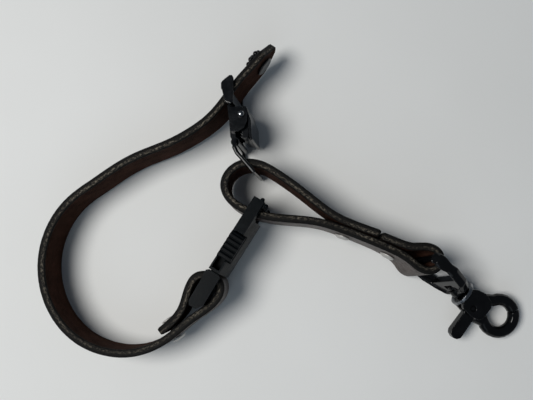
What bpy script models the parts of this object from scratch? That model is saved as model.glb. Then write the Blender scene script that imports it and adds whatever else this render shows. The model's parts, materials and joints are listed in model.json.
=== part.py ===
"""Martingale collar: a wide collar strap and a small control strap of black-edged leather.

The collar strap ends in a lever clasp with a bail and in a plastic side-release buckle. The control
strap's loop runs through the bail and through the buckle's slot, and holds a swivel trigger snap.
The straps stand on edge, as they do when the collar is laid on a table. Sizes and places are in
millimetres and become metres when a mesh is made; +Z is up and the table is at z = 0.
"""

import math

import bmesh
import bpy
import numpy as np
from mathutils import Matrix, Vector

MM = 0.001
GAP = 0.3
MIDDLE = (-1.182, 2.155, 0.0)

# Leather
STRAP_WIDTH = 19.0
LEATHER = 3.1
STEP = 2.6
STAND = 13.0

# The collar strap's tail, its rivets and its snap fastener
TAIL_POINT = 7.5
TAIL_SNAP_AT = (-9.6, 55.9)
TAIL_SNAP_RISE = 0.6
HEAD_R = 3.0
HEAD_T = 1.1
SHANK_R = 1.3

# Side-release buckle: x from its slot end to the plug's end, y through its thickness
BUCKLE_AT = (-8.98, -0.25, STAND)
BUCKLE_TURN = -122.3
BUCKLE_HALF_WIDTH = 13.0
SOCKET_LENGTH = 31.5
SOCKET_EDGE_HALF = 2.2
SOCKET_BULGES = (1.0, 2.6)
SOCKET_BAR = 1.9
SOCKET_SLOT_END = 8.1
SLOT_HALF = 10.0
CAVITY_HALF = 1.6
ARM_HALF = 1.25
PAD_SIDES = (-2.4, 3.4)
PAD_START = 15.0
PAD_END = 25.8
PAD_RIBS = 5
PAD_INNER = 10.5
ARM_PIVOT = (29.6, 7.0)
PLUG_BLOCK = (37.3, 46.8)
PLUG_SIDES = (-2.3, 3.5)

# Lever clasp: z along the lever's pin
CLASP_AT = (-15.0, 32.4, STAND)
CLASP_TILT = -5.5
CLASP_HALF = 11.5
CHEEK = 1.0
PIN_R = 0.9
BAIL_R = 0.85
BAIL_HINGE = (-2.6, -10.2)

# Trigger snap: x along the swivel from the eye to the hook
SNAP_AT = (53.4, -23.4, 12.3)
SNAP_TURN = -37.8
SNAP_PITCH = 12.0
EYE_LEAN = 14.0
EYE_TOP = 11.4
EYE_BOTTOM = 11.1
EYE_BAR = -1.2
EYE_R = 1.15
EYE_BAR_WIDEN = 1.25
EYE_SIDE_WIDEN = 2.1
EYE_WEB_START = 10.8
EYE_END = 17.6
SWIVEL_R = 1.6
HOOK_R = 2.4
HOOK_RING_R = 6.45
HOOK_CENTRE = (37.5, 2.0)
SNAP_PIVOT = (25.8, -2.4)

# Routes of the straps' middle lines: x, y, height, and lean of the top in degrees towards a set way
COLLAR_LEANS_TO = (0.70, -0.71)
COLLAR_ROUTE = (
    (-4.2, 62.7, 13.0, 1.0),
    (-10.2, 54.4, 13.0, 0.0),
    (-17.2, 46.1, 12.85, -2.0),
    (-22.9, 38.0, 12.7, -3.0),
    (-29.1, 31.3, 12.8, -1.0),
    (-35.2, 27.0, 12.5, 0.0),
    (-45.6, 21.6, 12.0, 0.0),
    (-55.0, 18.0, 11.5, 0.0),
    (-63.3, 14.0, 10.8, 0.0),
    (-74.0, 7.0, 10.0, 0.0),
    (-82.3, 1.0, 9.5, 0.0),
    (-88.4, -6.6, 9.5, 0.0),
    (-92.6, -18.0, 9.5, 0.0),
    (-92.8, -29.0, 9.5, 0.0),
    (-89.6, -39.5, 9.5, 0.0),
    (-80.6, -51.0, 9.5, 0.0),
    (-67.6, -57.1, 9.5, 0.0),
    (-54.8, -57.0, 10.6, 0.0),
    (-43.2, -51.6, 11.8, 0.0),
    (-34.2, -44.5, 12.8, 0.0),
    (-27.5, -39.8, 13.0, 0.0),
    (-23.8, -34.4, 13.0, 0.0),
    (-24.5, -30.5, 13.0, 0.0),
    (-28.5, -28.4, 13.0, 0.0),
    (-32.7, -28.9, 13.0, 0.0),
    (-35.8, -33.5, 13.0, 0.0),
    (-38.3, -41.0, 12.7, 0.0),
    (-46.6, -49.6, 11.6, 0.0),
)
CONTROL_LEANS_TO = (0.988, 0.157)
CONTROL_ROUTE = (
    (36.0, -13.1, 12.5, 0.7),
    (28.0, -10.2, 12.8, 0.0),
    (19.6, -6.4, 13.0, 0.0),
    (13.2, -1.9, 13.0, 0.0),
    (5.2, 4.5, 13.0, 0.0),
    (-2.2, 9.8, 13.0, 0.0),
    (-9.0, 13.5, 13.0, 0.0),
    (-15.4, 13.9, 13.0, 0.0),
    (-20.9, 10.4, 13.0, 0.0),
    (-22.6, 5.4, 13.0, 0.0),
    (-20.4, 0.3, 13.0, 0.0),
    (-15.4, -3.4, 13.0, 0.0),
    (-6.4, -6.3, 13.0, 0.0),
    (4.0, -7.5, 13.0, 0.0),
    (13.0, -8.6, 13.0, 0.0),
    (22.0, -11.4, 12.9, 0.0),
    (31.4, -15.1, 12.6, 0.7),
    (38.2, -18.1, 12.3, 2.1),
    (42.8, -20.6, 12.0, 4.9),
    (46.1, -23.3, 12.1, 8.4),
    (49.0, -26.2, 12.1, 13.2),
    (52.7, -27.0, 12.1, 17.3),
    (55.5, -24.1, 12.1, 19.3),
    (55.0, -20.4, 12.1, 18.3),
    (51.5, -18.2, 12.1, 14.2),
    (46.8, -18.0, 12.1, 8.4),
    (42.6, -16.5, 12.1, 4.2),
    (36.5, -13.8, 12.4, 1.4),
)


def clear_scene():
    for item in list(bpy.data.objects):
        bpy.data.objects.remove(item, do_unlink=True)


def material(name, colour, roughness, metallic):
    made = bpy.data.materials.new(name)
    made.use_nodes = True
    shader = made.node_tree.nodes["Principled BSDF"]
    shader.inputs["Base Color"].default_value = (*colour, 1.0)
    shader.inputs["Roughness"].default_value = roughness
    shader.inputs["Metallic"].default_value = metallic
    return made


def frame(name, at, matrix=None):
    """An empty that carries the pieces of one unit, at a place in millimetres."""
    empty = bpy.data.objects.new(name, None)
    bpy.context.collection.objects.link(empty)
    empty.matrix_world = Matrix.Translation(Vector(at) * MM) @ (matrix or Matrix.Identity(4))
    return empty


def add(name, mesh, look, parent, at=(0.0, 0.0, 0.0)):
    """An object from a bmesh in millimetres, in its parent's frame, with its origin at the point at."""
    bmesh.ops.translate(mesh, vec=-Vector(at), verts=mesh.verts)
    bmesh.ops.scale(mesh, vec=(MM, MM, MM), verts=mesh.verts)
    bmesh.ops.recalc_face_normals(mesh, faces=mesh.faces)
    data = bpy.data.meshes.new(name)
    mesh.to_mesh(data)
    mesh.free()
    data.materials.append(look)
    data.shade_smooth()
    data.set_sharp_from_angle(angle=math.radians(35.0))
    made = bpy.data.objects.new(name, data)
    bpy.context.collection.objects.link(made)
    made.parent = parent
    made.location = Vector(at) * MM
    return made


def boolean(target, tool, operation="DIFFERENCE"):
    """Cuts the tool from the target, or joins it, and hides the tool."""
    step = target.modifiers.new(f"{operation.lower()}_{tool.name}", "BOOLEAN")
    step.operation = operation
    step.object = tool
    tool.hide_render = True
    tool.display_type = "WIRE"


def prism(outline, low, high, axis="z"):
    """A closed outline of (a, b) points extruded from low to high along an axis."""
    place = {
        "z": lambda a, b, c: (a, b, c),
        "y": lambda a, b, c: (a, c, b),
        "x": lambda a, b, c: (c, a, b),
    }[axis]
    mesh = bmesh.new()
    rings = [[mesh.verts.new(place(a, b, c)) for a, b in outline] for c in (low, high)]
    mesh.faces.new(rings[0])
    mesh.faces.new(rings[1])
    count = len(outline)
    for i in range(count):
        j = (i + 1) % count
        mesh.faces.new((rings[0][i], rings[0][j], rings[1][j], rings[1][i]))
    return mesh


def box(low, high):
    (x0, y0, z0), (x1, y1, z1) = low, high
    return prism(((x0, y0), (x1, y0), (x1, y1), (x0, y1)), z0, z1)


def arc(centre, radius, start, end, count):
    """Points of a round stretch, from one angle to another in degrees."""
    turns = np.radians(np.linspace(start, end, count))
    return [(centre[0] + radius * math.cos(t), centre[1] + radius * math.sin(t)) for t in turns]


def turned(profile, sides, matrix=None):
    """A body turned about z from (radius, z) points that begin and end on the axis."""
    mesh = bmesh.new()
    rings = []
    for radius, z in profile:
        if radius == 0.0:
            rings.append([mesh.verts.new((0.0, 0.0, z))])
        else:
            turns = [2 * math.pi * i / sides for i in range(sides)]
            circle = [(radius * math.cos(t), radius * math.sin(t), z) for t in turns]
            rings.append([mesh.verts.new(point) for point in circle])
    for below, above in zip(rings, rings[1:]):
        for i in range(sides):
            j = (i + 1) % sides
            near, far = len(below), len(above)
            ends = (below[i % near], below[j % near], above[j % far], above[i % far])
            mesh.faces.new(dict.fromkeys(ends))
    if matrix:
        bmesh.ops.transform(mesh, matrix=matrix, verts=mesh.verts)
    return mesh


def cylinder(radius, low, high, sides=16, matrix=None):
    return turned(((0.0, low), (radius, low), (radius, high), (0.0, high)), sides, matrix)


def smooth_route(points, step):
    """Points at even steps along a natural cubic curve through the given ones."""
    points = np.array(points, float)
    spans = np.linalg.norm(np.diff(points[:, :3], axis=0), axis=1)
    knots = np.concatenate([[0.0], np.cumsum(spans)])
    count = len(points)
    system = np.zeros((count, count))
    right = np.zeros(points.shape)
    for i in range(1, count - 1):
        system[i, i - 1 : i + 2] = spans[i - 1], 2 * (spans[i - 1] + spans[i]), spans[i]
        change = (points[i + 1] - points[i]) / spans[i] - (points[i] - points[i - 1]) / spans[i - 1]
        right[i] = 6 * change
    system[0, 0] = system[-1, -1] = 1.0
    bends = np.linalg.solve(system, right)
    places = np.linspace(0.0, knots[-1], max(3, round(knots[-1] / step)) + 1)
    spot = np.clip(np.searchsorted(knots, places, side="right") - 1, 0, count - 2)
    width = spans[spot][:, None]
    ahead = (places - knots[spot])[:, None]
    behind = width - ahead
    return (
        (bends[spot] * behind**3 + bends[spot + 1] * ahead**3) / (6 * width)
        + (points[spot] / width - bends[spot] * width / 6) * behind
        + (points[spot + 1] / width - bends[spot + 1] * width / 6) * ahead
    )


def sections(points, leans_to, step=STEP):
    """Position, direction, left-hand side and upright of the strap at even steps along its route."""
    route = smooth_route(points, step)
    route[:, 2] = np.maximum(route[:, 2], STRAP_WIDTH / 2)
    ways = np.gradient(route[:, :2], axis=0)
    for place, way in zip(route, ways):
        lean = math.radians(place[3])
        along = Vector((way[0], way[1], 0.0)).normalized()
        upright = Vector((leans_to[0] * math.sin(lean), leans_to[1] * math.sin(lean), math.cos(lean)))
        yield Vector(place[:3]), along, upright.cross(along).normalized(), upright.normalized()


def strap(points, leans_to, tip=0.0):
    """A flat strap standing on edge along its route, with a pointed start when tip is given."""
    mesh = bmesh.new()
    rings = []
    start = Vector(points[0][:3])
    for place, _, side, upright in sections(points, leans_to):
        half = STRAP_WIDTH / 2 * min(1.0, 0.16 + 0.84 * (place - start).length / tip if tip else 1.0)
        corners = ((-half, -0.5), (half, -0.5), (half, 0.5), (-half, 0.5))
        rings.append([mesh.verts.new(place + upright * a + side * b * LEATHER) for a, b in corners])
    for before, after in zip(rings, rings[1:]):
        for i in range(4):
            j = (i + 1) % 4
            mesh.faces.new((before[i], before[j], after[j], after[i]))
    mesh.faces.new(rings[0])
    mesh.faces.new(rings[-1])
    return mesh


def wire(points, radius, sides=8, closed=False):
    """A round wire along a route, mitred at its points."""
    places = [Vector(p) for p in points]
    count = len(places)
    mesh = bmesh.new()
    rings = []
    side = None
    for i, place in enumerate(places):
        before = places[i - 1] if closed or i else place
        after = places[(i + 1) % count] if closed or i < count - 1 else place
        way = (after - before).normalized()
        if not closed and i in (0, count - 1):
            near, far = (places[1], places[2]) if i == 0 else (places[-2], places[-3])
            way = (near * 4 - place * 3 - far).normalized() * (1 if i == 0 else -1)
        if side is None:
            side = way.orthogonal().normalized()
        side = (side - way * side.dot(way)).normalized()
        other = way.cross(side)
        reach = 1.0
        if before != place and after != place:
            bend = (place - before).normalized().dot((after - place).normalized())
            reach = 1.0 / max(0.5, math.sqrt((1.0 + bend) / 2))
        out = (after - place).normalized() - (place - before).normalized()
        out = out - way * out.dot(way)
        ring = []
        for k in range(sides):
            turn = 2 * math.pi * k / sides
            offset = side * math.cos(turn) + other * math.sin(turn)
            if out.length > 1e-6:
                mitre = out.normalized()
                offset += mitre * offset.dot(mitre) * (reach - 1.0)
            ring.append(mesh.verts.new(place + offset * radius))
        rings.append(ring)
    pairs = list(zip(rings, rings[1:]))
    if closed:
        pairs.append((rings[-1], rings[0]))
    for number, (before, after) in enumerate(pairs):
        shift = 0
        if closed and number == len(pairs) - 1:
            shift = min(range(sides), key=lambda s: (before[0].co - after[s].co).length)
        for k in range(sides):
            j = (k + 1) % sides
            mesh.faces.new((before[k], before[j], after[(j + shift) % sides], after[(k + shift) % sides]))
    if not closed:
        mesh.faces.new(rings[0])
        mesh.faces.new(rings[-1])
    return mesh


def nearest(points, leans_to, x, y):
    """The strap's section whose middle is nearest to a place in plan."""
    return min(sections(points, leans_to, 0.25), key=lambda s: (s[0].x - x) ** 2 + (s[0].y - y) ** 2)


def across(place, side, upright):
    """A frame whose z points through the leather, at a place in millimetres."""
    rows = Matrix((side.cross(upright), upright, side)).transposed().to_4x4()
    return Matrix.Translation(place) @ rows


# --- Straps and their rivets ---------------------------------------------------------------------


def straps(looks):
    collar = add("collar_strap", strap(COLLAR_ROUTE, COLLAR_LEANS_TO, TAIL_POINT), looks["leather"], None)
    control = add("control_strap", strap(CONTROL_ROUTE, CONTROL_LEANS_TO), looks["leather"], None)
    return collar, control


def rivet(name, strap_piece, points, leans_to, stretches, spot, looks):
    """A post and a cap that join two stretches of one strap at a place in plan: the cap is outside."""
    low_points, high_points = (points[start:end] for start, end in stretches)
    place, _, side, upright = nearest(low_points, leans_to, *spot)
    other, _, _, _ = nearest(high_points, leans_to, place.x, place.y)
    if (other - place).dot(side) < 0:
        side = -side
    low = -LEATHER / 2
    high = (other - place).dot(side) + LEATHER / 2
    turn = across(place, side, upright)
    unit = frame(f"{name}_frame", turn.translation, turn.to_3x3().to_4x4())
    cap = (
        (0.0, low - GAP - HEAD_T),
        (HEAD_R * 0.6, low - GAP - HEAD_T * 0.9),
        (HEAD_R * 0.93, low - GAP - HEAD_T * 0.5),
        (HEAD_R, low - GAP),
        (SHANK_R + GAP, low - GAP),
        (SHANK_R + GAP, low - GAP - HEAD_T * 0.45),
        (0.0, low - GAP - HEAD_T * 0.45),
    )
    post = (
        (0.0, low - GAP * 0.5),
        (SHANK_R, low - GAP * 0.5),
        (SHANK_R, high + GAP * 1.5),
        (HEAD_R * 0.8, high + GAP * 1.5),
        (HEAD_R * 0.75, high + GAP + HEAD_T * 0.6),
        (0.0, high + GAP + HEAD_T * 0.8),
    )
    add(f"{name}_cap", turned(cap, 16), looks["rivet"], unit)
    add(f"{name}_post", turned(post, 16), looks["rivet"], unit)
    hole = cylinder(SHANK_R + GAP, low - 1, high + 1)
    boolean(strap_piece, add(f"{name}_hole", hole, looks["rivet"], unit))


def rivets(collar, control, looks):
    """Two rivets close the control strap's loop and its eye fold, and one holds the collar's lap."""
    rivet("loop_rivet", control, CONTROL_ROUTE, CONTROL_LEANS_TO, ((13, 18), (0, 4)), (23.2, -11.8), looks)
    rivet("eye_rivet", control, CONTROL_ROUTE, CONTROL_LEANS_TO, ((16, 20), (24, 28)), (40.6, -19.6), looks)
    rivet("lap_rivet", collar, COLLAR_ROUTE, COLLAR_LEANS_TO, ((16, 20), (25, 28)), (-42.0, -50.4), looks)


def tail_snap(collar, looks):
    """The snap fastener at the collar strap's tail: a disc on the flesh side and a stud outside."""
    place, _, side, upright = nearest(COLLAR_ROUTE[:4], COLLAR_LEANS_TO, *TAIL_SNAP_AT)
    turn = across(place + upright * TAIL_SNAP_RISE, side, upright)
    unit = frame("tail_snap_frame", turn.translation, turn.to_3x3().to_4x4())
    face = LEATHER / 2 + GAP
    disc = ((0.0, face), (4.0, face), (4.0, face + 0.5), (3.4, face + 0.8), (0.0, face + 0.9))
    stud = (
        (0.0, face - GAP * 2),
        (SHANK_R, face - GAP * 2),
        (SHANK_R, -face),
        (3.9, -face),
        (3.9, -face - 0.6),
        (2.3, -face - 0.7),
        (2.3, -face - 1.5),
        (1.6, -face - 1.9),
        (0.0, -face - 1.9),
    )
    add("tail_snap_disc", turned(disc, 20), looks["gunmetal"], unit)
    add("tail_snap_stud", turned(stud, 20), looks["gunmetal"], unit)
    hole = cylinder(SHANK_R + GAP, -LEATHER, LEATHER)
    boolean(collar, add("tail_snap_hole", hole, looks["gunmetal"], unit))


# --- Side-release buckle -------------------------------------------------------------------------


def lens(half_edge, bulge, half_width, count):
    """Half the section of the buckle: thin at its edges and full in the middle, as (y, z) points."""
    heights = np.linspace(-half_width, half_width, count)
    return [(half_edge + bulge * max(0.0, math.cos(math.pi * z / (2 * half_width))), z) for z in heights]


def buckle_socket(unit, looks):
    back, front = (lens(SOCKET_EDGE_HALF, bulge, BUCKLE_HALF_WIDTH, 9) for bulge in SOCKET_BULGES)
    outline = front + [(-y, z) for y, z in reversed(back)]
    socket = add("buckle_socket", prism(outline, 0.0, SOCKET_LENGTH, "x"), looks["plastic"], unit)
    slot = box((SOCKET_BAR, -9, -SLOT_HALF), (SOCKET_SLOT_END, 9, SLOT_HALF))
    boolean(socket, add("socket_slot", slot, looks["plastic"], unit))
    for side in (-1, 1):
        thin = box((-1, side * 2.5, -14), (SOCKET_SLOT_END - 0.6, side * 9, 14))
        boolean(socket, add(f"socket_thin_{side}", thin, looks["plastic"], unit))
    cavity = box((9.6, -CAVITY_HALF, -11.0), (SOCKET_LENGTH + 1, CAVITY_HALF, 11.0))
    boolean(socket, add("socket_cavity", cavity, looks["plastic"], unit))
    for side in (-1, 1):
        low, high = sorted((side * 8.6, side * 14.0))
        scallop = box((PAD_START - 0.5, -9, low), (PAD_END + 0.5, 9, high))
        boolean(socket, add(f"socket_scallop_{side}", scallop, looks["plastic"], unit))
        low, high = sorted((side * 8.0, side * 14.0))
        window = box((PAD_END - 1.0, -CAVITY_HALF, low), (SOCKET_LENGTH - 1.0, CAVITY_HALF, high))
        boolean(socket, add(f"socket_window_{side}", window, looks["plastic"], unit))


def arm_outline(side):
    """The arm seen from the buckle's broad face, with the ribs of its press pad."""
    points = [(ARM_PIVOT[0] + 0.6, 5.4), (ARM_PIVOT[0] + 0.6, 8.2), (PAD_END - 0.4, 9.2), (PAD_END, 12.8)]
    pitch = (PAD_END - PAD_START - 0.8) / PAD_RIBS
    for rib in range(PAD_RIBS):
        start = PAD_END - 0.4 - rib * pitch
        points += [(start, 13.0), (start - pitch * 0.55, 13.0), (start - pitch * 0.75, 12.4)]
        points += [(start - pitch * 0.95, 12.4)]
    points += [(PAD_START, 12.1), (PAD_START, 9.4), (PAD_START - 2.2, 7.6), (PAD_START - 1.6, 6.2)]
    points += [(PAD_END - 1.0, 5.8)]
    return [(x, side * z) for x, z in points]


def buckle_arm(name, side, unit, looks):
    """A springy arm of the plug, whose press pad fills the socket's side window."""
    hinge = (ARM_PIVOT[0], 0.0, side * ARM_PIVOT[1])
    arm = add(name, prism(arm_outline(side), *PAD_SIDES, "y"), looks["plastic"], unit, hinge)
    for face in (-1, 1):
        low, high = sorted((face * ARM_HALF, face * 4.0))
        inner, outer = sorted((side * 0.0, side * PAD_INNER))
        thin = box((8.0, low, inner), (ARM_PIVOT[0] + 2.0, high, outer))
        boolean(arm, add(f"{name}_thin_{face}", thin, looks["plastic"], unit))
        inner, outer = sorted((side * 8.9, side * 12.0))
        neck = box((PAD_END + 0.1, low, inner), (ARM_PIVOT[0] + 2.0, high, outer))
        boolean(arm, add(f"{name}_neck_{face}", neck, looks["plastic"], unit))


def buckle_plug(unit, looks):
    start, end = PLUG_BLOCK
    low, high = PLUG_SIDES
    block = [(start + 1.0, low), (end - 1.4, low + 0.3), (end, low + 1.3), (end - 0.3, high - 1.6)]
    block += [(end - 2.6, high), (start + 1.4, high), (start, high - 2.2), (start, low + 1.6)]
    plug = add("buckle_plug", prism(block, -BUCKLE_HALF_WIDTH, BUCKLE_HALF_WIDTH), looks["plastic"], unit)
    for side in (-1, 1):
        inner, outer = sorted((side * 10.3, side * (BUCKLE_HALF_WIDTH - 0.02)))
        shape = [(31.9, -1.9), (32.6, -2.7), (38.5, low + 0.1), (38.5, high - 0.1), (32.6, 3.3), (31.9, 2.3)]
        rail = prism(shape, inner, outer)
        boolean(plug, add(f"plug_rail_{side}", rail, looks["plastic"], unit), "UNION")
    neck = box((30.9, -1.3, -10.6), (31.9, 1.3, 10.6))
    boolean(plug, add("plug_neck", neck, looks["plastic"], unit), "UNION")
    shape = [(31.2, -2.2), (31.2, 2.2), (14.0, 1.6), (11.2, 0.7), (11.2, -0.7), (14.0, -1.6)]
    tongue = prism(shape, -1.3, 1.3, "y")
    boolean(plug, add("plug_tongue", tongue, looks["plastic"], unit), "UNION")
    for side in (-1, 1):
        low_z, high_z = sorted((side * 10.2, side * 10.7))
        foot = box((30.9, -1.3, low_z), (31.9, 1.3, high_z))
        boolean(plug, add(f"plug_foot_{side}", foot, looks["plastic"], unit), "UNION")


def buckle(looks):
    unit = frame("buckle_frame", BUCKLE_AT, Matrix.Rotation(math.radians(BUCKLE_TURN), 4, "Z"))
    buckle_socket(unit, looks)
    buckle_plug(unit, looks)
    buckle_arm("buckle_arm_top", 1, unit, looks)
    buckle_arm("buckle_arm_bottom", -1, unit, looks)


# --- Lever clasp ---------------------------------------------------------------------------------


def clasp_base(unit, looks):
    """The back plate with a cheek at each end and the curl that holds the bail."""
    inside = CLASP_HALF - CHEEK
    plate = ((-5.45, 3.9), (-4.4, 3.9), (-2.3, -8.9), (-3.9, -9.4), (-4.5, -8.2))
    base = add("clasp_base", prism(plate, -9.3, 9.3), looks["gunmetal"], unit)
    upper = ((-5.4, 3.7), (-4.35, 3.7), (-2.9, -6.6), (-4.1, -6.6))
    wide = prism(upper, -CLASP_HALF + 0.1, CLASP_HALF - 0.1)
    boolean(base, add("base_plate_wide", wide, looks["gunmetal"], unit), "UNION")
    cheek = [(-4.9, 2.9), (-0.6, 3.0), (1.2, 2.1), (2.3, 0.2)]
    cheek += [(2.3, -2.6), (1.2, -5.2), (-1.3, -6.7), (-3.6, -6.4)]
    for side in (-1, 1):
        low, high = sorted((side * inside, side * CLASP_HALF))
        boolean(base, add(f"base_cheek_{side}", prism(cheek, low, high), looks["gunmetal"], unit), "UNION")
        hole = cylinder(PIN_R + GAP, side * CLASP_HALF - 2.0, side * CLASP_HALF + 2.0)
        boolean(base, add(f"base_pin_hole_{side}", hole, looks["gunmetal"], unit))
    place = Matrix.Translation((*BAIL_HINGE, 0.0))
    curl = cylinder(BAIL_R + 0.85, -9.3, 9.3, 16, place)
    boolean(base, add("base_curl", curl, looks["gunmetal"], unit), "UNION")
    bore = cylinder(BAIL_R + GAP + 0.05, -11.0, 11.0, 16, place)
    boolean(base, add("base_curl_bore", bore, looks["gunmetal"], unit))


def clasp_strap_frame(unit, looks):
    """The polished frame through which the collar strap runs aslant: two bars joined by side rails."""
    rail = [(-7.9, 12.4), (-7.2, 13.4), (-4.6, 15.4), (-3.6, 15.4), (-3.1, 14.6)]
    rail += [(-3.1, 4.6), (-3.9, 4.2), (-5.6, 4.5), (-6.3, 5.2), (-7.2, 8.6)]
    outer = [(-7.9, 12.4), (-7.2, 13.4), (-4.6, 15.4), (-4.4, 15.35), (-6.6, 12.0), (-7.9, 10.0)]
    inner = [(-3.1, 4.6), (-3.9, 4.2), (-5.4, 4.45), (-5.6, 4.75), (-3.1, 8.6)]
    top, inside = CLASP_HALF + 0.3, CLASP_HALF - 1.4
    made = add("clasp_strap_frame", prism(outer, -top + 0.3, top - 0.3), looks["gunmetal"], unit)
    bar = prism(inner, -top + 0.3, top - 0.3)
    boolean(made, add("frame_inner_bar", bar, looks["gunmetal"], unit), "UNION")
    for side in (-1, 1):
        low, high = sorted((side * inside, side * top))
        boolean(made, add(f"frame_rail_{side}", prism(rail, low, high), looks["gunmetal"], unit), "UNION")


def clasp_lever(unit, looks):
    """The lever plate with the barrel that turns on the pin."""
    reach = CLASP_HALF - CHEEK - GAP
    plate = [(0.6, 3.4), (1.7, 3.2), (3.6, -2.2), (3.8, -7.4), (4.3, -9.6)]
    plate += [(3.4, -9.9), (2.8, -7.6), (2.6, -3.0), (1.2, 1.6), (0.2, 2.2)]
    lever = add("clasp_lever", prism(plate, -reach, reach), looks["gunmetal"], unit)
    barrel = cylinder(2.3, -reach + 0.05, reach - 0.05, 20)
    boolean(lever, add("lever_barrel", barrel, looks["gunmetal"], unit), "UNION")
    boolean(lever, add("lever_pin_hole", cylinder(PIN_R + GAP, -14, 14), looks["gunmetal"], unit))


def clasp_jaw(unit, looks):
    """The toothed jaw under the lever, with its teeth towards the back plate."""
    teeth = 5
    points = [(2.5, -9.0), (2.3, -3.2), (0.2, -3.2)]
    for tooth in range(teeth):
        start = -3.4 - tooth * 1.1
        points += [(-0.7, start - 0.3), (0.2, start - 1.0)]
    add("clasp_jaw", prism(points, -9.2, 9.2), looks["gunmetal"], unit)


def clasp_pin(unit, looks):
    top = CLASP_HALF + GAP
    profile = [(0.0, -top - 1.0), (0.8, -top - 0.85), (1.35, -top - 0.3), (1.35, -top), (PIN_R, -top)]
    profile += [(PIN_R, top), (1.35, top), (1.35, top + 0.5), (0.9, top + 1.1), (0.0, top + 1.35)]
    add("clasp_pin", turned(profile, 14), looks["bright"], unit)


def clasp_bail(unit, looks):
    """The wire ring that hangs from the curl and holds the control strap's loop."""
    high = CLASP_HALF - 0.65
    plan = [BAIL_HINGE, (-2.7, -12.6), (-1.6, -14.8), (1.4, -18.2), (4.4, -21.6)]
    upper = [(x, y, high) for x, y in plan]
    lower = [(x, y, -high) for x, y in reversed(plan)]
    ring = wire(upper + lower, BAIL_R, 10, closed=True)
    add("clasp_bail", ring, looks["gunmetal"], unit, (*BAIL_HINGE, 0.0))


def clasp(looks):
    unit = frame("clasp_frame", CLASP_AT, Matrix.Rotation(math.radians(CLASP_TILT), 4, "Y"))
    clasp_base(unit, looks)
    clasp_strap_frame(unit, looks)
    clasp_lever(unit, looks)
    clasp_jaw(unit, looks)
    clasp_pin(unit, looks)
    clasp_bail(unit, looks)


# --- Trigger snap --------------------------------------------------------------------------------


def snap_eye(unit, looks):
    """The eye for the strap: a rectangular ring whose outer end holds the swivel."""
    bar, top, end = EYE_BAR, EYE_TOP, EYE_END
    ring = [(bar, 0.0, 0.0), (bar, 0.0, top - 1.0), (bar + 1.0, 0.0, top), (8.0, 0.0, top - 0.3)]
    ring += [(14.2, 0.0, top - 3.0), (end - 0.4, 0.0, 5.6), (end, 0.0, 2.5), (end, 0.0, -2.5)]
    ring += [(end - 0.4, 0.0, -5.2), (13.6, 0.0, -7.6), (7.5, 0.0, 1.3 - EYE_BOTTOM)]
    ring += [(bar + 1.8, 0.0, -EYE_BOTTOM), (bar, 0.0, 0.9 - EYE_BOTTOM)]
    mesh = wire(ring, EYE_R, 8, closed=True)
    for vert in mesh.verts:
        share = min(1.0, max(0.0, (vert.co.x - bar - 2.2) / 4.0))
        vert.co.y *= EYE_BAR_WIDEN + (EYE_SIDE_WIDEN - EYE_BAR_WIDEN) * share
    eye = add("snap_eye", mesh, looks["black"], unit, (EYE_BAR, 0.0, 0.0))
    web = [(EYE_WEB_START, top - 1.4), (14.2, top - 3.2), (end, 5.0), (end, -4.6), (13.6, -7.4)]
    web += [(EYE_WEB_START, -8.4)]
    boolean(eye, add("eye_web", prism(web, -1.5, 1.5, "y"), looks["black"], unit), "UNION")
    along = Matrix.Rotation(math.radians(90.0), 4, "Y")
    boolean(eye, add("eye_head_room", cylinder(2.8, end - 4.0, end - 1.9, 16, along), looks["black"], unit))
    section = [(0.0, end - 1.6), (2.9, end - 1.6), (3.3, end)]
    section += [(3.3, end + 1.2), (2.9, end + 1.7), (0.0, end + 1.7)]
    boolean(eye, add("eye_boss", turned(section, 16, along), looks["black"], unit), "UNION")
    boolean(eye, add("eye_bore", cylinder(SWIVEL_R + GAP, end - 4, end + 4, 16, along), looks["black"], unit))


def snap_swivel(unit, looks):
    """The headed swivel pin and the collar ring between the eye and the body."""
    along = Matrix.Rotation(math.radians(90.0), 4, "Y")
    end = EYE_END
    pin = ((0.0, end - 3.6), (2.0, end - 3.3), (2.5, end - 2.0), (SWIVEL_R, end - 2.0), (SWIVEL_R, end + 5.6),
           (0.0, end + 5.6))
    add("snap_swivel_pin", turned(pin, 16, along), looks["black"], unit)
    disc = cylinder(5.3, end + 2.0, end + 3.4, 24, along)
    ring = add("snap_swivel_ring", disc, looks["bright"], unit)
    boolean(ring, add("ring_bore", cylinder(SWIVEL_R + GAP, end, end + 5, 16, along), looks["bright"], unit))


def hook_points(start, end, count):
    """Middle line of a stretch of the hook's ring, from one angle to another in degrees."""
    return [(x, y, 0.0) for x, y in arc(HOOK_CENTRE, HOOK_RING_R, start, end, count)]


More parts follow.
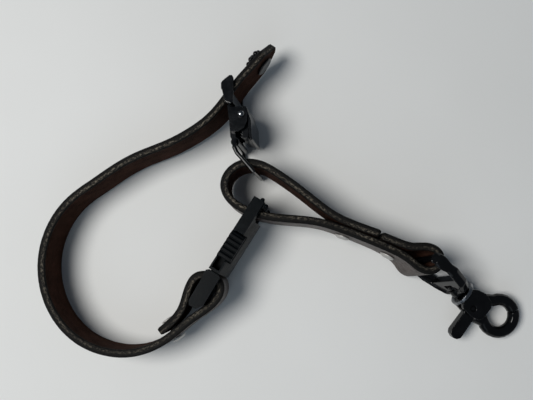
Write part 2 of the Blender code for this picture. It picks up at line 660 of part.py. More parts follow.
def snap_body(unit, looks):
    """The housing and the fixed part of the hook's ring, up to the notch at the tip."""
    start = EYE_END + 3.7
    shell = [(start, -3.4), (start + 1.3, -4.8), (start + 5.5, -5.4), (30.4, -4.6), (31.4, -3.0), (31.6, 2.0),
             (29.8, 4.2), (26.4, 5.2), (start + 1.6, 4.4), (start, 3.4)]
    body = add("snap_body", prism(shell, -3.9, 3.9), looks["black"], unit)
    hook = wire([(27.0, 2.2, 0.0)] + hook_points(148, 58, 7), HOOK_R, 10)
    boolean(body, add("hook_arm", hook, looks["black"], unit), "UNION")
    slot = [(start - 1, -9), (33, -9), (33, 0.9), (23.4, 0.9)]
    slot += [(22.4, -0.4), (start + 1.6, -3.0), (start - 1, -3.0)]
    boolean(body, add("body_slot", prism(slot, -1.85, 1.85), looks["black"], unit))
    root = [(26.0, -9.0), (33.0, -9.0), (33.0, -0.2), (29.6, -0.6), (26.0, -2.0)]
    boolean(body, add("body_gate_room", prism(root, -3.1, 3.1), looks["black"], unit))
    hole = cylinder(PIN_R + GAP, -6.0, 6.0, 12, Matrix.Translation((*SNAP_PIVOT, 0.0)))
    boolean(body, add("body_pin_hole", hole, looks["black"], unit))
    along = Matrix.Rotation(math.radians(90.0), 4, "Y")
    bore = cylinder(SWIVEL_R + GAP, EYE_END, EYE_END + 6.0, 16, along)
    boolean(body, add("body_swivel_bore", bore, looks["black"], unit))


def snap_trigger(unit, looks):
    """The gate part of the ring, its hub on the pin and its thumb lever, in one piece."""
    x, y = SNAP_PIVOT
    hub = [(x - 2.2, y - 3.0), (x - 2.0, y + 1.0), (x - 0.6, y + 2.4), (x + 2.2, y + 2.4), (x + 5.4, y - 0.4),
           (x + 5.6, y - 3.0)]
    trigger = add("snap_trigger", prism(hub, -1.5, 1.5), looks["black"], unit, (x, y, 0.0))
    gate = wire([(29.4, -4.3, 0.0)] + hook_points(-126, 53, 13), HOOK_R - 0.05, 10)
    boolean(trigger, add("gate_arm", gate, looks["black"], unit), "UNION")
    lever = [(x - 1.0, y - 2.4), (x + 3.8, y - 2.4), (x + 4.2, y - 11.6), (x + 3.2, y - 13.0)]
    lever += [(x + 1.6, y - 13.5), (x - 0.2, y - 12.8), (x - 1.0, y - 11.4)]
    boolean(trigger, add("thumb_lever", prism(lever, -1.7, 1.7), looks["black"], unit), "UNION")
    hole = cylinder(PIN_R + GAP, -6.0, 6.0, 12, Matrix.Translation((x, y, 0.0)))
    boolean(trigger, add("trigger_pin_hole", hole, looks["black"], unit))


def snap_trigger_pin(unit, looks):
    pin = cylinder(PIN_R, -3.8, 3.8, 12, Matrix.Translation((*SNAP_PIVOT, 0.0)))
    add("snap_trigger_pin", pin, looks["bright"], unit)


def trigger_snap(looks):
    turn = Matrix.Rotation(math.radians(SNAP_TURN), 4, "Z")
    turn = turn @ Matrix.Rotation(math.radians(SNAP_PITCH), 4, "Y")
    eye_unit = frame("snap_eye_frame", SNAP_AT, turn @ Matrix.Rotation(math.radians(-EYE_LEAN), 4, "X"))
    body_unit = frame("snap_body_frame", SNAP_AT, turn)
    snap_eye(eye_unit, looks)
    snap_swivel(body_unit, looks)
    snap_body(body_unit, looks)
    snap_trigger(body_unit, looks)
    snap_trigger_pin(body_unit, looks)


def centre():
    """Moves everything so that the middle of the whole object's footprint is the origin."""
    for item in bpy.data.objects:
        if item.parent is None:
            item.location -= Vector(MIDDLE) * MM


def main():
    clear_scene()
    looks = {
        "leather": material("leather", (0.05, 0.032, 0.027), 0.75, 0.0),
        "rivet": material("rivet_steel", (0.5, 0.48, 0.45), 0.3, 1.0),
        "gunmetal": material("gunmetal", (0.09, 0.1, 0.11), 0.25, 1.0),
        "bright": material("bright_gunmetal", (0.3, 0.31, 0.33), 0.25, 1.0),
        "black": material("black_lacquer", (0.012, 0.012, 0.014), 0.22, 0.6),
        "plastic": material("black_plastic", (0.02, 0.024, 0.028), 0.45, 0.0),
    }
    collar, control = straps(looks)
    rivets(collar, control, looks)
    tail_snap(collar, looks)
    buckle(looks)
    clasp(looks)
    trigger_snap(looks)
    centre()


main()
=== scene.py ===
"""The martingale's looks: leather straps with painted edges, moulded and cast hardware, a pale floor."""

import json
import math

import bmesh
import bpy
import numpy as np
from mathutils import Matrix, Vector, noise


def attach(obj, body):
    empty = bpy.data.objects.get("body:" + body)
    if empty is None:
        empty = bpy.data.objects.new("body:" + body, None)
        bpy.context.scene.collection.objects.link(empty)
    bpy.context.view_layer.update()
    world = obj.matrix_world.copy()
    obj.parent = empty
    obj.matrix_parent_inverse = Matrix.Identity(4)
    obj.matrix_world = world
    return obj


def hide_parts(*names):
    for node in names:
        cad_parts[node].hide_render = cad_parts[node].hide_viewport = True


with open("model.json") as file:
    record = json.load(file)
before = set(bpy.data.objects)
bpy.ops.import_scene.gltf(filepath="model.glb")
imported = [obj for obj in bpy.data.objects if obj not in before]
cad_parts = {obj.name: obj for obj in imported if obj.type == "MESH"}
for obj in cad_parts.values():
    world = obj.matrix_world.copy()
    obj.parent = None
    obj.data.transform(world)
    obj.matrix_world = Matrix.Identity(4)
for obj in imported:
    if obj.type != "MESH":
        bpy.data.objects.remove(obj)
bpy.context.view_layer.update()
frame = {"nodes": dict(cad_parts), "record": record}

# Sizes are in millimetres, and MIDDLE is what the CAD takes off its places to centre the object
MM = 0.001
MIDDLE = Vector((-1.182, 2.155, 0.0))

# The straps' section, and the length over which the collar's tail comes to its point
STRAP_WIDTH = 19.0
LEATHER = 3.1
HALF_WIDTH = STRAP_WIDTH / 2
HALF_LEATHER = LEATHER / 2
CORNER_R = 0.75
TAIL_POINT = 7.5

# The frames of the buckle and of the trigger snap in the CAD: a place in millimetres, turns in degrees
BUCKLE_AT = Vector((-8.98, -0.25, 13.0))
BUCKLE_TURN = -122.3
SNAP_AT = Vector((53.4, -23.4, 12.3))
SNAP_TURN = -37.8
SNAP_PITCH = 12.0
EYE_LEAN = 14.0

# The straps' routes, as the CAD has them: x, y, height and lean in millimetres and degrees. A scratch
# program projected outlines read off the photo into plan. Most points lie within half a millimetre of
# that curve, and the rest were moved one by one
COLLAR_LEANS_TO = (0.70, -0.71)
COLLAR_ROUTE = (
    (-4.2, 62.7, 13.0, 1.0),
    (-10.2, 54.4, 13.0, 0.0),
    (-17.2, 46.1, 12.85, -2.0),
    (-22.9, 38.0, 12.7, -3.0),
    (-29.1, 31.3, 12.8, -1.0),
    (-35.2, 27.0, 12.5, 0.0),
    (-45.6, 21.6, 12.0, 0.0),
    (-55.0, 18.0, 11.5, 0.0),
    (-63.3, 14.0, 10.8, 0.0),
    (-74.0, 7.0, 10.0, 0.0),
    (-82.3, 1.0, 9.5, 0.0),
    (-88.4, -6.6, 9.5, 0.0),
    (-92.6, -18.0, 9.5, 0.0),
    (-92.8, -29.0, 9.5, 0.0),
    (-89.6, -39.5, 9.5, 0.0),
    (-80.6, -51.0, 9.5, 0.0),
    (-67.6, -57.1, 9.5, 0.0),
    (-54.8, -57.0, 10.6, 0.0),
    (-43.2, -51.6, 11.8, 0.0),
    (-34.2, -44.5, 12.8, 0.0),
    (-27.5, -39.8, 13.0, 0.0),
    (-23.8, -34.4, 13.0, 0.0),
    (-24.5, -30.5, 13.0, 0.0),
    (-28.5, -28.4, 13.0, 0.0),
    (-32.7, -28.9, 13.0, 0.0),
    (-35.8, -33.5, 13.0, 0.0),
    (-38.3, -41.0, 12.7, 0.0),
    (-46.6, -49.6, 11.6, 0.0),
)
CONTROL_LEANS_TO = (0.988, 0.157)
CONTROL_ROUTE = (
    (36.0, -13.1, 12.5, 0.7),
    (28.0, -10.2, 12.8, 0.0),
    (19.6, -6.4, 13.0, 0.0),
    (13.2, -1.9, 13.0, 0.0),
    (5.2, 4.5, 13.0, 0.0),
    (-2.2, 9.8, 13.0, 0.0),
    (-9.0, 13.5, 13.0, 0.0),
    (-15.4, 13.9, 13.0, 0.0),
    (-20.9, 10.4, 13.0, 0.0),
    (-22.6, 5.4, 13.0, 0.0),
    (-20.4, 0.3, 13.0, 0.0),
    (-15.4, -3.4, 13.0, 0.0),
    (-6.4, -6.3, 13.0, 0.0),
    (4.0, -7.5, 13.0, 0.0),
    (13.0, -8.6, 13.0, 0.0),
    (22.0, -11.4, 12.9, 0.0),
    (31.4, -15.1, 12.6, 0.7),
    (38.2, -18.1, 12.3, 2.1),
    (42.8, -20.6, 12.0, 4.9),
    (46.1, -23.3, 12.1, 8.4),
    (49.0, -26.2, 12.1, 13.2),
    (52.7, -27.0, 12.1, 17.3),
    (55.5, -24.1, 12.1, 19.3),
    (55.0, -20.4, 12.1, 18.3),
    (51.5, -18.2, 12.1, 14.2),
    (46.8, -18.0, 12.1, 8.4),
    (42.6, -16.5, 12.1, 4.2),
    (36.5, -13.8, 12.4, 1.4),
)


# --- Materials -----------------------------------------------------------------------------------


class Look:
    """A material whose nodes are made one by one."""

    def __init__(self, name):
        self.made = bpy.data.materials.new(name)
        self.made.use_nodes = True
        self.tree = self.made.node_tree
        self.shader = self.tree.nodes["Principled BSDF"]
        self.place = self.add("ShaderNodeTexCoord").outputs["Object"]

    def add(self, kind, inputs=None, **settings):
        node = self.tree.nodes.new(kind)
        for key, value in settings.items():
            setattr(node, key, value)
        for key, value in (inputs or {}).items():
            self.put(node.inputs[key], value)
        return node

    def put(self, socket, value):
        if isinstance(value, bpy.types.NodeSocket):
            self.tree.links.new(value, socket)
        else:
            socket.default_value = value

    def set(self, **values):
        for key, value in values.items():
            self.put(self.shader.inputs[key.replace("_", " ")], value)

    def noise(self, scale, detail=4.0, rough=0.55, vector=None, stretch=None):
        vector = vector or self.place
        if stretch:
            vector = self.add("ShaderNodeMapping", {"Vector": vector, "Scale": stretch}).outputs[0]
        inputs = {"Vector": vector, "Scale": scale, "Detail": detail, "Roughness": rough}
        return self.add("ShaderNodeTexNoise", inputs).outputs["Fac"]

    def cells(self, scale):
        inputs = {"Vector": self.place, "Scale": scale}
        return self.add("ShaderNodeTexVoronoi", inputs, feature="F1").outputs["Distance"]

    def between(self, value, low, high, start=0.0, end=1.0):
        inputs = {"Value": value, "From Min": low, "From Max": high, "To Min": start, "To Max": end}
        return self.add("ShaderNodeMapRange", inputs).outputs["Result"]

    def math(self, operation, a, b):
        return self.add("ShaderNodeMath", {0: a, 1: b}, operation=operation).outputs[0]

    def mix(self, factor, a, b):
        a, b = ((*c, 1.0) if isinstance(c, tuple) else c for c in (a, b))
        return self.add("ShaderNodeMix", {0: factor, 6: a, 7: b}, data_type="RGBA").outputs[2]

    def bump(self, height, distance, strength, normal=None):
        inputs = {"Height": height, "Distance": distance, "Strength": strength}
        if normal:
            inputs["Normal"] = normal
        return self.add("ShaderNodeBump", inputs).outputs["Normal"]

    def attribute(self, name, output="Fac"):
        return self.add("ShaderNodeAttribute", attribute_name=name).outputs[output]

    def paint_creep(self, spread):
        """How far the edges' black paint has crept in over a face, with a ragged border."""
        ragged = self.between(self.noise(900, 3), 0.3, 0.7, -spread, spread)
        return self.math("ADD", self.attribute("edge"), ragged)

    def edge_wear_and_highlight(self, radius):
        """How near a sharp edge the surface is, from 0 on the flat to 1 on the edge."""
        round_normal = self.add("ShaderNodeBevel", {"Radius": radius}, samples=4).outputs[0]
        flat_normal = self.add("ShaderNodeNewGeometry").outputs["Normal"]
        normals = {0: round_normal, 1: flat_normal}
        dot = self.add("ShaderNodeVectorMath", normals, operation="DOT_PRODUCT").outputs["Value"]
        return self.between(self.math("SUBTRACT", 1.0, dot), 0.02, 0.2)


def leather_flesh():
    """The fuzzy inner side: dark red-brown, with paint that has crept in from the edges."""
    look = Look("leather_flesh")
    dark, brown, pale = (0.019, 0.0075, 0.0048), (0.05, 0.022, 0.0145), (0.1, 0.052, 0.036)
    paint = (0.006, 0.005, 0.005)
    lay = look.attribute("lay", "Vector")
    patches = look.noise(160, 3, 0.6)
    fibres = look.noise(1.0, 5, 0.7, lay, (900, 2600, 1400))
    colour = look.mix(look.between(patches, 0.35, 0.7), dark, brown)
    colour = look.mix(look.between(fibres, 0.45, 0.75, 0.0, 0.7), colour, pale)
    colour = look.mix(look.between(look.paint_creep(0.25), 0.35, 0.8), colour, paint)
    look.set(Base_Color=colour, Roughness=look.between(fibres, 0.3, 0.8, 0.8, 1.0))
    look.set(Specular_IOR_Level=0.04)
    look.set(Normal=look.bump(fibres, 0.00035, 0.9))
    return look.made


def leather_grain():
    """The smooth outer side: grey-brown grain with fine pebbles, pores and creases."""
    look = Look("leather_grain")
    dark, brown, pores = (0.045, 0.033, 0.028), (0.095, 0.073, 0.064), (0.022, 0.016, 0.014)
    paint = (0.006, 0.0055, 0.0055)
    pebbles = look.cells(1500)
    patches = look.noise(120, 4, 0.6)
    colour = look.mix(look.between(patches, 0.35, 0.7), dark, brown)
    colour = look.mix(look.between(pebbles, 0.2, 0.75, 0.5, 0.0), colour, pores)
    colour = look.mix(look.between(look.paint_creep(0.2), 0.4, 0.8), colour, paint)
    look.set(Base_Color=colour, Roughness=look.between(look.noise(500, 4), 0.3, 0.7, 0.42, 0.62))
    look.set(Specular_IOR_Level=0.3)
    fine = look.bump(pebbles, 0.00012, 0.6)
    look.set(Normal=look.bump(look.noise(420, 4), 0.0003, 0.5, fine))
    return look.made


def leather_edge():
    """The cut edge: black paint, with a pale speckled band painted on the flesh side of its middle as its
    highlight.
    """
    look = Look("leather_edge")
    # fibre is the pale colour of the edge's painted highlight
    black, soft_black, fibre = (0.0015, 0.0015, 0.0016), (0.006, 0.0055, 0.0048), (0.26, 0.225, 0.175)
    lay = look.attribute("lay", "Vector")
    streaks = look.noise(1.0, 4, 0.65, lay, (700, 1700, 1700))
    specks = look.noise(1.0, 4, 0.7, lay, (850, 1900, 1900))
    patches = look.between(look.noise(110, 3), 0.35, 0.65, 0.25, 1.0)
    # The open band is a painted highlight along the edge, shown in patches
    highlight_mask = look.math("MULTIPLY", look.attribute("open"), patches)
    base = look.mix(look.between(streaks, 0.35, 0.7), black, soft_black)
    colour = look.mix(look.math("MULTIPLY", look.between(specks, 0.47, 0.63), highlight_mask), base, fibre)
    look.set(Base_Color=colour, Roughness=look.between(streaks, 0.3, 0.7, 0.42, 0.75))
    look.set(Specular_IOR_Level=0.12)
    look.set(Normal=look.bump(specks, 0.0003, 0.8, look.bump(streaks, 0.0004, 0.6)))
    return look.made


def plastic(name, colour, light, rough, grain):
    """Moulded plastic with a fine spark-eroded grain, scuffs, and lighter edges that are partly polish and
    partly a painted highlight.
    """
    look = Look(name)
    spots = look.noise(grain, 3, 0.6)
    scuffs = look.noise(1.0, 5, 0.75, look.place, (160, 700, 300))
    edge_patches = look.between(look.noise(400, 3), 0.3, 0.7, 0.3, 1.0)
    # Lighter edges: partly polish, partly a painted highlight
    edge = look.math("MULTIPLY", look.edge_wear_and_highlight(0.0005), edge_patches)
    shade = look.mix(look.between(scuffs, 0.55, 0.8, 0.0, 0.5), colour, light)
    look.set(Base_Color=look.mix(look.math("MULTIPLY", edge, 0.7), shade, light))
    look.set(Roughness=look.between(scuffs, 0.3, 0.8, rough - 0.06, rough + 0.14))
    look.set(Normal=look.bump(spots, 0.00008, 0.5), Specular_IOR_Level=0.05)
    return look.made


def plated(name, colour, bright, rough, metallic):
    """Polished plate or lacquer on metal: smudges, tiny pits, and brighter edges that are partly rubbing
    and partly a painted highlight.
    """
    look = Look(name)
    smudges = look.noise(260, 5, 0.7)
    pits = look.noise(2600, 2, 0.5)
    edge_patches = look.between(look.noise(520, 4), 0.4, 0.65, 0.1, 1.0)
    # Brighter edges: partly rubbing, partly a painted highlight
    edge = look.math("MULTIPLY", look.edge_wear_and_highlight(0.0004), edge_patches)
    shade = look.mix(look.between(smudges, 0.35, 0.75, 0.0, 0.35), colour, bright)
    look.set(Base_Color=look.mix(look.math("MULTIPLY", edge, 0.75), shade, bright))
    look.set(Metallic=metallic, Specular_IOR_Level=0.24)
    look.set(Roughness=look.between(smudges, 0.3, 0.75, rough, rough + 0.07))
    soft = look.bump(smudges, 0.0001, 0.02)
    look.set(Normal=look.bump(look.between(pits, 0.3, 0.7), 0.00002, 0.05, soft))
    return look.made


def paper():
    """The pale, matt surface that the martingale lies on."""
    look = Look("floor_paper")
    fibre = look.noise(900, 4, 0.6)
    clouds = look.between(look.noise(9, 3, 0.5), 0.3, 0.7)
    look.set(Base_Color=look.mix(clouds, (0.69, 0.695, 0.685), (0.725, 0.73, 0.722)))
    look.set(Roughness=0.9, Specular_IOR_Level=0.2, Normal=look.bump(fibre, 0.00012, 0.25))
    return look.made


# The hardware's looks have a body colour, a lighter colour for scuffs and for edges that are partly polish
# and partly a painted highlight, and a roughness, then grain or metallic
LOOKS = {
    "flesh": leather_flesh(),
    "grain": leather_grain(),
    "edge": leather_edge(),
    "plastic": plastic("buckle_plastic", (0.0018, 0.003, 0.0039), (0.009, 0.0135, 0.017), 0.3, 3000),
    "pads": plastic("pad_plastic", (0.0022, 0.003, 0.0037), (0.012, 0.016, 0.019), 0.36, 2200),
    "gunmetal": plated("clasp_plate", (0.0025, 0.0028, 0.0033), (0.02, 0.0215, 0.024), 0.07, 0.0),
    "bright": plated("bright_plate", (0.16, 0.165, 0.175), (0.45, 0.46, 0.47), 0.16, 1.0),
    "lacquer": plated("snap_lacquer", (0.0018, 0.0018, 0.002), (0.008, 0.0084, 0.0092), 0.07, 0.0),
    # The rivets' light grey, half matt colour is partly their own plating and partly a painted reflection
    # of the pale floor
    "steel": plated("rivet_plate", (0.42, 0.41, 0.39), (0.6, 0.59, 0.57), 0.35, 0.35),
}


# --- Shapes --------------------------------------------------------------------------------------


def place(mesh, name, materials):
    """Puts a finished mesh in the scene."""
    data = bpy.data.meshes.new(name)
    mesh.to_mesh(data)
    mesh.free()
    for material in materials:
        data.materials.append(material)
    made = bpy.data.objects.new(name, data)
    bpy.context.scene.collection.objects.link(made)
    return made


def show(mesh, name, looks, body, replaced):
    """Puts a finished mesh on show for CAD nodes."""
    made = place(mesh, name, [LOOKS[look] for look in looks])
    made.data.shade_smooth()
    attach(made, body)
    if replaced:
        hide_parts(*replaced)
    return made


def smooth_route(points, step):
    """Points at even steps along a natural cubic curve through the given ones."""
    points = np.array(points, float)
    spans = np.linalg.norm(np.diff(points[:, :3], axis=0), axis=1)
    knots = np.concatenate([[0.0], np.cumsum(spans)])
    count = len(points)
    system = np.zeros((count, count))
    right = np.zeros(points.shape)
    for i in range(1, count - 1):
        system[i, i - 1 : i + 2] = spans[i - 1], 2 * (spans[i - 1] + spans[i]), spans[i]
        change = (points[i + 1] - points[i]) / spans[i] - (points[i] - points[i - 1]) / spans[i - 1]
        right[i] = 6 * change
    system[0, 0] = system[-1, -1] = 1.0
    bends = np.linalg.solve(system, right)
    places = np.linspace(0.0, knots[-1], max(3, round(knots[-1] / step)) + 1)
    spot = np.clip(np.searchsorted(knots, places, side="right") - 1, 0, count - 2)
    width = spans[spot][:, None]
    ahead = (places - knots[spot])[:, None]
    behind = width - ahead
    return places, (
        (bends[spot] * behind**3 + bends[spot + 1] * ahead**3) / (6 * width)
        + (points[spot] / width - bends[spot] * width / 6) * behind
        + (points[spot + 1] / width - bends[spot + 1] * width / 6) * ahead
    )


# The parts of a strap's section, which are also its material places, and where its corners lie: along a
# face and down an edge as shares of the flat, and round a corner in degrees
FLESH, GRAIN, EDGE = 0, 1, 2
FACE_ROWS = (-0.985, -0.95, -0.88, -0.7, -0.45, -0.15, 0.15, 0.45, 0.7, 0.88, 0.95, 0.985)
EDGE_ROWS = (1.0, 0.5, 0.0, -0.5, -1.0)
CORNER_TURNS = (70, 45, 20)


def strap_outline():
    """Once round a strap's section as (across, through, part): one half, then that half turned over."""
    reach, rise = HALF_WIDTH - CORNER_R, HALF_LEATHER - CORNER_R
    turns = [math.radians(turn) for turn in CORNER_TURNS]
    corner = [(reach + CORNER_R * math.cos(t), rise + CORNER_R * math.sin(t)) for t in turns]
    edge = corner + [(HALF_WIDTH, b * rise) for b in EDGE_ROWS]
    edge += [(a, -b) for a, b in reversed(corner)] + [(reach, -HALF_LEATHER)]
    outline = []
    for way, face in ((1, FLESH), (-1, GRAIN)):
        outline += [(way * a * reach, way * HALF_LEATHER, face) for a in (*FACE_ROWS, 1.0)]
        outline += [(way * a, way * b, EDGE) for a, b in edge]
    return outline


# A strap's rings lie ROUTE_STEP millimetres apart. Wear takes a little off its faces and its rims, by
# waves and fuzz whose rates are per millimetre and whose depths are in millimetres
ROUTE_STEP = 0.75
WAVE_RATES = (0.11, 0.05)
FUZZ_RATE = 1.3
FACE_LOSS = 0.02
FACE_ROUGHNESS = 0.05
RIM = 1.5
RIM_LOSS = 0.05
RIM_ROUGHNESS = 0.1
# The cut ends: how far back they thin, by how much, and how much of that the width follows
END_LENGTH = 0.35
END_THINNING = 0.18
END_NARROWING = 0.3
# The breadth of the tail's very tip, as a share of the strap's
TIP_SHARE = 0.16
# The paint's reach over a face, and the edge's painted highlight band: its depth in the rim, middle and
# half width
PAINT_REACH = 1.3
HIGHLIGHT_RIM = 0.9
HIGHLIGHT_MIDDLE = 0.5
HIGHLIGHT_HALF = HALF_LEATHER * 0.5


def leather_strap(name, node, points, leans_to, tip, seed):
    """A strap of real leather along its CAD solid's route, with rims thinned by rubbing, a painted
    highlight band along its edges and a fuzzy flesh side.
    """
    places, route = smooth_route(points, ROUTE_STEP)
    route[:, 2] = np.maximum(route[:, 2], HALF_WIDTH)
    ways = np.gradient(route[:, :2], axis=0)
    outline = strap_outline()
    mesh = bmesh.new()
    lay = mesh.verts.layers.float_vector.new("lay")
    edge = mesh.verts.layers.float.new("edge")
    # open holds the band where the edge's highlight is painted
    highlight_band = mesh.verts.layers.float.new("open")
    start = Vector(points[0][:3])
    rings = []
    for run, place, way in zip(places, route, ways):
        lean = math.radians(place[3])
        along = Vector((way[0], way[1], 0.0)).normalized()
        upright = Vector((leans_to[0] * math.sin(lean), leans_to[1] * math.sin(lean), math.cos(lean)))
        side = upright.cross(along).normalized()
        middle = Vector(place[:3])
        from_tip = (middle - start).length
        share = min(1.0, TIP_SHARE + (1.0 - TIP_SHARE) * from_tip / tip) if tip else 1.0
        from_end = min(run, places[-1] - run)
        thinned = END_THINNING * max(0.0, 1.0 - from_end / END_LENGTH)
        ring = []
        for a, b, _ in outline:
            wave = abs(noise.noise(Vector((run * WAVE_RATES[0], a * WAVE_RATES[1], seed))))
            fuzz = abs(noise.noise(Vector((run * FUZZ_RATE, a * FUZZ_RATE, b + seed))))
            rise = a * share
            if abs(a) > HALF_WIDTH - RIM:
                rise -= math.copysign(RIM_LOSS + RIM_ROUGHNESS * fuzz, a)
            rise *= 1.0 - thinned * END_NARROWING
            loss = FACE_LOSS + FACE_ROUGHNESS * fuzz + FACE_ROUGHNESS * wave
            depth = b * (1.0 - thinned) - (loss if b >= 0.0 else -loss)
            vert = mesh.verts.new((middle + upright * rise + side * depth - MIDDLE) * MM)
            vert[lay] = Vector((run, a, b)) * MM
            vert[edge] = max(0.0, 1.0 - (HALF_WIDTH - abs(a)) / PAINT_REACH)
            # The edge's painted highlight lies in a band on the rim, nearer the flesh side
            on_rim = abs(a) > HALF_WIDTH - HIGHLIGHT_RIM
            vert[highlight_band] = max(0.0, 1.0 - abs(b - HIGHLIGHT_MIDDLE) / HIGHLIGHT_HALF) if on_rim else 0.0
            ring.append(vert)
        rings.append(ring)
    skin_strap(mesh, rings, [part for _, _, part in outline])
    show(mesh, name, ("flesh", "grain", "edge"), "root", [node])


def skin_strap(mesh, rings, parts):
    """Joins the rings of a strap with faces, closes its ends and sets each face's material place."""
    count = len(parts)
    for before, after in zip(rings, rings[1:]):
        for i in range(count):
            j = (i + 1) % count
            face = mesh.faces.new((before[i], before[j], after[j], after[i]))
            face.material_index = EDGE if EDGE in (parts[i], parts[j]) else parts[i]
    for ring in (rings[0], rings[-1]):
        mesh.faces.new(ring).material_index = EDGE
    bmesh.ops.recalc_face_normals(mesh, faces=mesh.faces)


def body_of(node):
    return next(b for b, nodes in frame["record"]["behaviour"]["bodies"].items() if node in nodes)


# Corners closer than WELD metres become one. Faces that meet under FLAT become one, edges past SHARP
# are rounded, and those past SHADED_SHARP stay crisp in the shading
WELD = 2e-6
FLAT = math.radians(1.0)
SHARP = math.radians(28)
SHADED_SHARP = math.radians(50)


def cad_mesh(node):
    """The CAD node's mesh with its corners joined."""
    mesh = bmesh.new()
    mesh.from_mesh(frame["nodes"][node].data)
    bmesh.ops.remove_doubles(mesh, verts=mesh.verts, dist=WELD)
    return mesh


def edged(node, look, width):
    """The CAD node with its flat faces whole and its edges rounded."""
    mesh = cad_mesh(node)
    bmesh.ops.dissolve_limit(mesh, angle_limit=FLAT, verts=mesh.verts, edges=mesh.edges)
    sharp = [e for e in mesh.edges if len(e.link_faces) == 2 and e.calc_face_angle(0.0) > SHARP]
    bmesh.ops.bevel(
        mesh,
        geom=sharp,
        offset=width * MM,
        offset_type="OFFSET",
        segments=2,
        profile=0.6,
        affect="EDGES",
        clamp_overlap=True,
    )
    made = show(mesh, f"{node}_fine", (look,), body_of(node), [node])
    made.data.set_sharp_from_angle(angle=SHADED_SHARP)
    made.modifiers.new("flats", "WEIGHTED_NORMAL").keep_sharp = True


# How a casting's edges melt: the smoothing of each round, the rounds, and the share of faces kept after
MELT = 0.6
MELT_ROUNDS = 6
CAST_KEEP = 0.5


def cast(node, look, voxel):
    """The CAD node as a casting: every edge melted round."""
    made = show(cad_mesh(node), f"{node}_fine", (look,), body_of(node), [node])
    melt = made.modifiers.new("melt", "REMESH")
    melt.mode = "VOXEL"
    melt.voxel_size = voxel * MM
    melt.use_smooth_shade = True
    soft = made.modifiers.new("soft", "SMOOTH")
    soft.factor = MELT
    soft.iterations = MELT_ROUNDS
    made.modifiers.new("lean", "DECIMATE").ratio = CAST_KEEP
    settle(made)
    return made


def settle(made):
    """Turns a piece's modifiers into its mesh."""
    bpy.context.view_layer.update()
    shaped = bpy.data.meshes.new_from_object(made.evaluated_get(bpy.context.evaluated_depsgraph_get()))
    made.modifiers.clear()
    made.data = shaped
    shaped.shade_smooth()


# The eye's top bar, in the eye's frame: where it starts in height and ends along x, each with the
# length over which the spread comes in, and how much broader it gets
BAR_FROM, BAR_RISE = 9.7, 0.7
BAR_END, BAR_RUN = 5.4, 4.0
BAR_SPREAD = 0.8


def turned(degrees, axis):
    return Matrix.Rotation(math.radians(degrees), 3, axis)


def broad_top(eye):
    """Spreads the eye's top bar, which lies above the strap's edge, out to its full breadth."""
    turn = turned(SNAP_TURN, "Z") @ turned(SNAP_PITCH, "Y") @ turned(-EYE_LEAN, "X")
    corner = SNAP_AT - MIDDLE
    for vert in eye.data.vertices:
        spot = turn.transposed() @ (vert.co / MM - corner)
        high = min(1.0, max(0.0, (spot.z - BAR_FROM) / BAR_RISE))
        near = min(1.0, max(0.0, (BAR_END - spot.x) / BAR_RUN))
        spot.y *= 1.0 + BAR_SPREAD * high * near
        vert.co = (corner + turn @ spot) * MM


def middle_of(node):
    """The middle of a CAD node's corners."""
    corners = [v.co for v in frame["nodes"][node].data.vertices]
    return sum(corners, Vector()) / len(corners)


def lumps(name, node, look, spots, radius):
    """Small balls, partly sunk in a CAD node."""
    mesh = bmesh.new()
    for spot in spots:
        place = Matrix.Translation(spot)
        bmesh.ops.create_uvsphere(mesh, u_segments=20, v_segments=12, radius=radius * MM, matrix=place)
    show(mesh, name, (look,), body_of(node), [])


# The stud's crown: how far it stands off the leather, its prongs and the dome in their middle
CROWN_RISE = 2.6
PRONGS = 6
PRONG_RING_R = 3.0
PRONG_R = 1.15
DOME_R = 1.7


def tail_snap_prongs():
    """The stud's crown: a ring of prongs pressed over round a middle dome."""
    foot = middle_of("tail_snap_disc")
    out = (middle_of("tail_snap_stud") - foot).normalized()
    up = (Vector((0.0, 0.0, 1.0)) - out * out.z).normalized()
    hub = foot + out * (LEATHER + CROWN_RISE) * MM
    turns = [(i + 0.5) * 360 / PRONGS for i in range(PRONGS)]
    ring = [hub + turned(turn, out) @ up * PRONG_RING_R * MM for turn in turns]
    lumps("tail_snap_prongs", "tail_snap_stud", "gunmetal", ring, PRONG_R)
    lumps("tail_snap_dome", "tail_snap_stud", "gunmetal", [hub], DOME_R)


# The knobs of the buckle's slot, in the buckle's frame: x and y, and height either side of the middle
KNOB_PLACES = ((0.9, -1.1), (-0.3, 1.2), (1.1, 3.6))
KNOB_HEIGHT = 12.2
KNOB_R = 0.85


def slot_knobs():
    """The rounded ends of the ribs that guide the strap at the socket's open end."""
    turn = turned(BUCKLE_TURN, "Z")
    corner = BUCKLE_AT - MIDDLE
    spots = [Vector((x, y, z)) for x, y in KNOB_PLACES for z in (-KNOB_HEIGHT, KNOB_HEIGHT)]
    spots = [(corner + turn @ spot) * MM for spot in spots]
    lumps("buckle_slot_knobs", "buckle_socket", "plastic", spots, KNOB_R)


leather_strap("collar_leather", "collar_strap", COLLAR_ROUTE, COLLAR_LEANS_TO, tip=TAIL_POINT, seed=3.0)
leather_strap("control_leather", "control_strap", CONTROL_ROUTE, CONTROL_LEANS_TO, tip=0.0, seed=11.0)

# Moulded and pressed nodes: the look, and how wide their rounded edges are in millimetres
for node, look, width in (
    ("buckle_socket", "plastic", 0.35),
    ("buckle_plug", "plastic", 0.35),
    ("buckle_arm_top", "pads", 0.16),
    ("buckle_arm_bottom", "pads", 0.16),
    ("clasp_base", "gunmetal", 0.16),
    ("clasp_lever", "gunmetal", 0.15),
    ("clasp_jaw", "gunmetal", 0.1),
):
    edged(node, look, width)

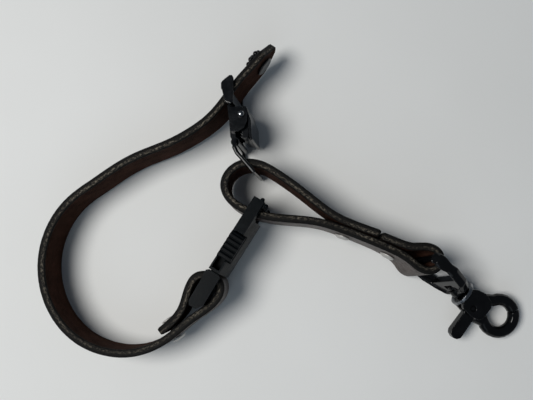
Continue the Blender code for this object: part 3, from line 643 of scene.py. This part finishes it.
# Cast, drawn and turned nodes: the look, and the voxel in millimetres that their edges melt by
for node, look, voxel in (
    ("clasp_bail", "gunmetal", 0.14),
    ("clasp_strap_frame", "gunmetal", 0.18),
    ("clasp_pin", "bright", 0.12),
    ("snap_eye", "lacquer", 0.2),
    ("snap_body", "lacquer", 0.2),
    ("snap_trigger", "lacquer", 0.2),
    ("snap_swivel_pin", "lacquer", 0.16),
    ("snap_swivel_ring", "bright", 0.16),
    ("snap_trigger_pin", "lacquer", 0.12),
    ("tail_snap_disc", "gunmetal", 0.12),
    ("tail_snap_stud", "gunmetal", 0.12),
    ("lap_rivet_cap", "steel", 0.11),
    ("lap_rivet_post", "steel", 0.11),
    ("loop_rivet_cap", "steel", 0.11),
    ("loop_rivet_post", "steel", 0.11),
    ("eye_rivet_cap", "steel", 0.11),
    ("eye_rivet_post", "steel", 0.11),
):
    made = cast(node, look, voxel)
    if node == "snap_eye":
        broad_top(made)

tail_snap_prongs()
slot_knobs()


# --- Floor, light and camera ---------------------------------------------------------------------

# The floor, in metres: its half width, and its drop that keeps it off the faces that lie on it
FLOOR_REACH = 3.0
FLOOR_DROP = 0.0001

SKY_COLOUR = (0.7, 0.83, 1.0, 1.0)
SKY_STRENGTH = 0.13

# The camera, judged from the photo and not solved: its place in metres, sensor and lens in millimetres,
# and where straight down lies from the picture's middle, as slopes to the right and downwards
CAMERA_AT = (0.003432, -0.028655, 0.260)
SENSOR = 36.0
LENS = 42.8893
LEAN_RIGHT = 0.037008
LEAN_DOWN = 0.110236


def floor():
    mesh = bmesh.new()
    bmesh.ops.create_grid(mesh, x_segments=1, y_segments=1, size=FLOOR_REACH)
    made = place(mesh, "floor", [paper()])
    made.location.z = -FLOOR_DROP


def light(name, at, size, watts, colour):
    """A round lamp that points at the origin, which is under the object's middle."""
    lamp = bpy.data.lights.new(name, "AREA")
    lamp.shape = "DISK"
    lamp.size = size
    lamp.energy = watts
    lamp.color = colour
    made = bpy.data.objects.new(name, lamp)
    made.location = at
    made.rotation_euler = (-Vector(at)).to_track_quat("-Z", "Y").to_euler()
    bpy.context.scene.collection.objects.link(made)


def sky():
    """The faint blue light that comes from everywhere."""
    world = bpy.data.worlds.new("room")
    world.use_nodes = True
    background = world.node_tree.nodes["Background"]
    background.inputs["Color"].default_value = SKY_COLOUR
    background.inputs["Strength"].default_value = SKY_STRENGTH
    bpy.context.scene.world = world


def camera():
    """The photograph's view, nearly straight down: built from the world's axes as the camera sees them."""
    up = -Vector((LEAN_RIGHT, -LEAN_DOWN, -1.0)).normalized()
    across = (Vector((1.0, 0.0, 0.0)) - up * up.x).normalized()
    turn = Matrix((across, up.cross(across), up))
    lens = bpy.data.cameras.new("camera")
    lens.sensor_width = SENSOR
    lens.lens = LENS
    lens.clip_start = 0.01
    made = bpy.data.objects.new("camera", lens)
    made.matrix_world = Matrix.Translation(CAMERA_AT) @ turn.to_4x4()
    bpy.context.scene.collection.objects.link(made)
    bpy.context.scene.camera = made


floor()
light("window", at=(-0.33, -0.02, 0.66), size=0.36, watts=4.5, colour=(1.0, 0.985, 0.955))
light("room", at=(-0.2, -0.9, 0.75), size=0.9, watts=1.4, colour=(0.78, 0.9, 1.0))
sky()
bpy.context.scene.view_settings.view_transform = "Standard"
camera()

bpy.context.view_layer.update()
